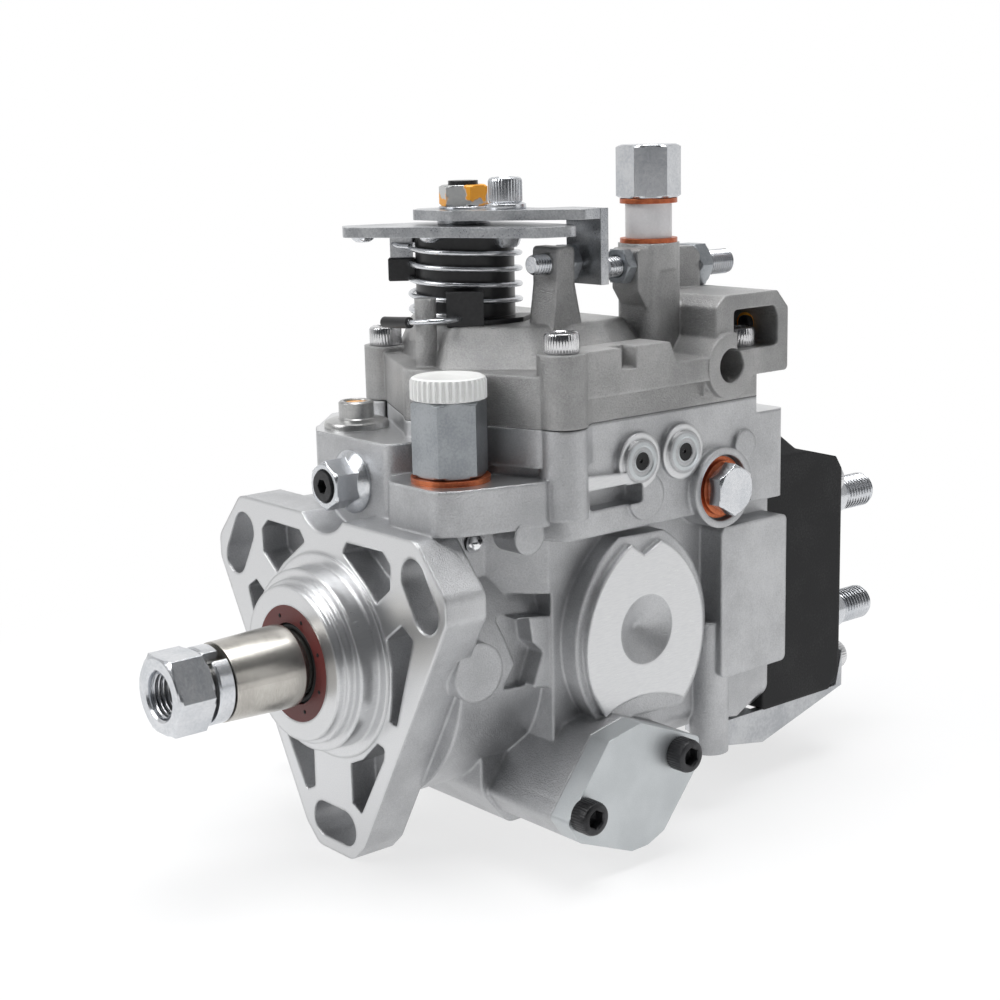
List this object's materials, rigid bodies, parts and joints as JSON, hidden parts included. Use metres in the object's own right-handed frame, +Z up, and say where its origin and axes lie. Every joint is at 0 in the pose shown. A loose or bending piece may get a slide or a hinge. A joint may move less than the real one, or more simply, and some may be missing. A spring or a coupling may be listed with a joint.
{
  "type": "diesel injection pump",
  "caption": "Rotary diesel injection pump with slotted mounting flange, taper drive shaft, governor cover with control lever, timing device and black distributor head.",
  "frame": {"origin": "centre of the circle of the three flange slots, where the drive-shaft axis meets the mounting face", "axes": "+Y along the drive shaft from the drive end to the delivery end, +X towards the timing cover, +Z up"},
  "size_m": [0.152, 0.277, 0.2089],
  "materials": {
    "cast_alloy": "bright sand-cast aluminium",
    "machined_steel": "turned and ground steel",
    "zinc_plate": "bright zinc plated",
    "copper": "soft copper",
    "black_steel": "black oxide",
    "black_casting": "black coated iron",
    "seal_rubber": "dark red rubber on a steel shell",
    "damper_rubber": "black rubber",
    "white_plastic": "white moulded plastic",
    "black_plastic": "black moulded plastic",
    "gasket": "thin fibre sheet",
    "bush_bronze": "sintered bronze"
  },
  "bodies": {
    "housing": {"pump_housing": "cast_alloy", "shaft_seal": "seal_rubber", "shaft_bush": "bush_bronze", "feed_pump_ring": "machined_steel", "feed_pump_plate": "machined_steel", "governor_shaft": "machined_steel", "governor_nut": "zinc_plate", "distributor_head": "black_casting", "plunger_barrel": "machined_steel", "centre_plug": "zinc_plate", "delivery_holders": "zinc_plate", "spring_yoke": "machined_steel", "plunger_springs": "machined_steel", "pivot_bolts": "zinc_plate", "timing_covers": "zinc_plate", "timing_screws": "black_steel", "timing_spring": "machined_steel", "inlet_fitting": "zinc_plate", "regulating_valve": "zinc_plate", "cover_gasket": "gasket", "governor_cover": "cast_alloy", "banjo_bolt": "zinc_plate", "banjo_sleeve": "white_plastic", "adjusting_screws": "zinc_plate", "lock_nuts": "zinc_plate", "spring_bush": "black_plastic", "return_spring": "zinc_plate", "governor_spring": "machined_steel", "copper_washers": "copper", "rear_bracket": "zinc_plate", "bracket_bolt": "zinc_plate", "socket_screws": "zinc_plate"},
    "shaft": {"drive_shaft": "machined_steel", "shaft_nut": "zinc_plate", "spring_washer": "zinc_plate", "feed_pump_rotor": "machined_steel", "feed_pump_vanes": "machined_steel", "drive_gear": "machined_steel", "rubber_dampers": "damper_rubber", "cross_disc": "machined_steel", "cam_plate": "machined_steel", "plunger": "machined_steel"},
    "carrier": {"governor_carrier": "machined_steel"},
    "weight_right": {"flyweight_right": "machined_steel"},
    "weight_top": {"flyweight_top": "machined_steel"},
    "weight_left": {"flyweight_left": "machined_steel"},
    "weight_bottom": {"flyweight_bottom": "machined_steel"},
    "sleeve": {"governor_sleeve": "machined_steel"},
    "lever": {"start_lever": "machined_steel", "tension_lever": "machined_steel"},
    "collar": {"control_collar": "machined_steel"},
    "ring": {"roller_ring": "machined_steel", "rollers": "machined_steel", "timing_block": "machined_steel"},
    "piston": {"timing_piston": "machined_steel"},
    "control": {"control_shaft": "machined_steel", "lower_lever": "zinc_plate", "upper_lever": "zinc_plate", "lever_fasteners": "zinc_plate"},
    "cap": {"inlet_cap": "white_plastic"}
  },
  "joints": [
    {"name": "shaft_spin", "type": "hinge", "parent": "housing", "child": "shaft", "pos_m": [0, 0, 0], "axis": [0, 1, 0], "continuous": true},
    {"name": "governor_spin", "type": "hinge", "parent": "housing", "child": "carrier", "pos_m": [0, 0, 0.051], "axis": [0, 1, 0], "continuous": true},
    {"name": "sleeve_slide", "type": "slide", "parent": "housing", "child": "sleeve", "axis": [0, 1, 0], "range_m": [0, 0.001]},
    {"name": "weight_right_swing", "type": "hinge", "parent": "carrier", "child": "weight_right", "pos_m": [0.012, 0.0496, 0.051], "axis": [0, 0, -1], "range_deg": [0, 12.1]},
    {"name": "weight_top_swing", "type": "hinge", "parent": "carrier", "child": "weight_top", "pos_m": [0, 0.0496, 0.063], "axis": [1, 0, 0], "range_deg": [0, 12.1]},
    {"name": "weight_left_swing", "type": "hinge", "parent": "carrier", "child": "weight_left", "pos_m": [-0.012, 0.0496, 0.051], "axis": [0, 0, 1], "range_deg": [0, 12.1]},
    {"name": "weight_bottom_swing", "type": "hinge", "parent": "carrier", "child": "weight_bottom", "pos_m": [0, 0.0496, 0.039], "axis": [-1, 0, 0], "range_deg": [0, 12.1]},
    {"name": "lever_swing", "type": "hinge", "parent": "housing", "child": "lever", "pos_m": [0, 0.1076, 0.0432], "axis": [-1, 0, 0], "range_deg": [0, 7.4], "deforming": ["governor_spring"]},
    {"name": "collar_slide", "type": "slide", "parent": "housing", "child": "collar", "axis": [0, 1, 0], "range_m": [-0.0043, 0]},
    {"name": "timing_slide", "type": "slide", "parent": "housing", "child": "piston", "axis": [1, 0, 0], "range_m": [-0.004, 0.004], "deforming": ["timing_spring"]},
    {"name": "roller_ring_turn", "type": "hinge", "parent": "housing", "child": "ring", "pos_m": [0, 0, 0], "axis": [0, -1, 0], "range_deg": [-5.5, 5.5]},
    {"name": "control_lever_turn", "type": "hinge", "parent": "housing", "child": "control", "pos_m": [0.0016, 0.055, 0], "axis": [0, 0, 1], "range_deg": [0, 5], "stiffness_Nm_per_rad": 0.3, "springref_deg": -28.65, "deforming": ["return_spring"]},
    {"name": "cap_lift", "type": "slide", "parent": "housing", "child": "cap", "axis": [0, 0, 1], "range_m": [0, 0.0085]}
  ],
  "couplings": [
    {"joint": "governor_spin", "follows": "shaft_spin", "ratio": -1.4286},
    {"joint": "weight_right_swing", "follows": "sleeve_slide", "rad_per_m": 209.44},
    {"joint": "weight_top_swing", "follows": "sleeve_slide", "rad_per_m": 209.44},
    {"joint": "weight_left_swing", "follows": "sleeve_slide", "rad_per_m": 209.44},
    {"joint": "weight_bottom_swing", "follows": "sleeve_slide", "rad_per_m": 209.44},
    {"joint": "lever_swing", "follows": "sleeve_slide", "rad_per_m": 128.21},
    {"joint": "collar_slide", "follows": "sleeve_slide", "ratio": -4.19},
    {"joint": "roller_ring_turn", "follows": "timing_slide", "rad_per_m": 23.697}
  ]
}
